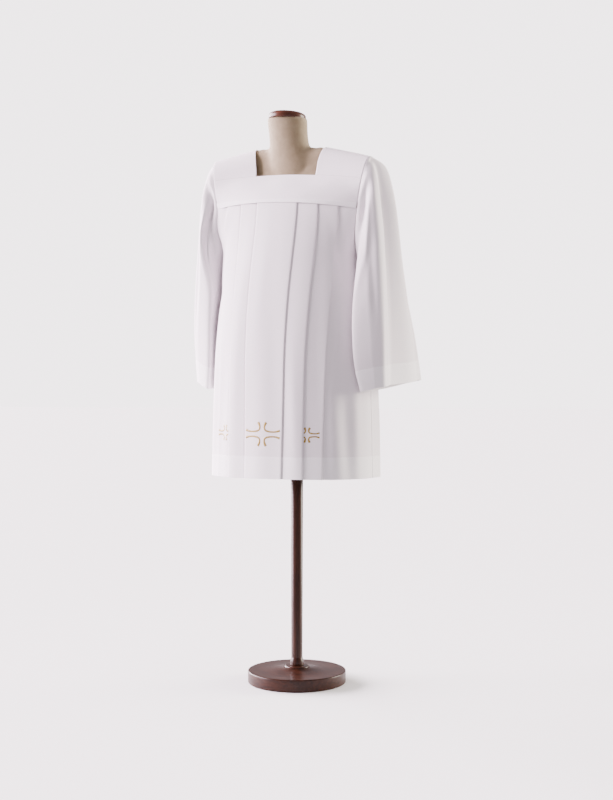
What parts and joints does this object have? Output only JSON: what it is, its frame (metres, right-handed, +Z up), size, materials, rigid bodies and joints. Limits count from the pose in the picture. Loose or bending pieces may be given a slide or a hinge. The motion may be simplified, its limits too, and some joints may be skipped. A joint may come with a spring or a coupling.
{
  "type": "surplice on a dress form",
  "caption": "White church surplice with a square yoke, knife pleats, bell sleeves and gold crosses, worn by a limbless linen dress form on a mahogany stand.",
  "frame": {"origin": "centre of the base's underside, where it stands on the floor", "axes": "+Z up, the garment's front faces -Y, and the wearer's left is +X"},
  "size_m": [0.6178, 0.3899, 1.5888],
  "materials": {
    "white_cloth": "matt white plain weave with a soft sheen",
    "gold_thread": "satin-stitched gold thread",
    "linen": "cream linen stretched over the form",
    "mahogany": "polished dark red-brown wood"
  },
  "bodies": {
    "root": {"front_panel": "white_cloth", "back_panel": "white_cloth", "yoke_front": "white_cloth", "yoke_back": "white_cloth", "yoke_shoulder_left": "white_cloth", "yoke_shoulder_right": "white_cloth", "sleeve_left": "white_cloth", "sleeve_right": "white_cloth", "form_torso": "linen", "neck_cap": "mahogany", "stand_pole": "mahogany", "stand_base": "mahogany"}
  },
  "joints": []
}
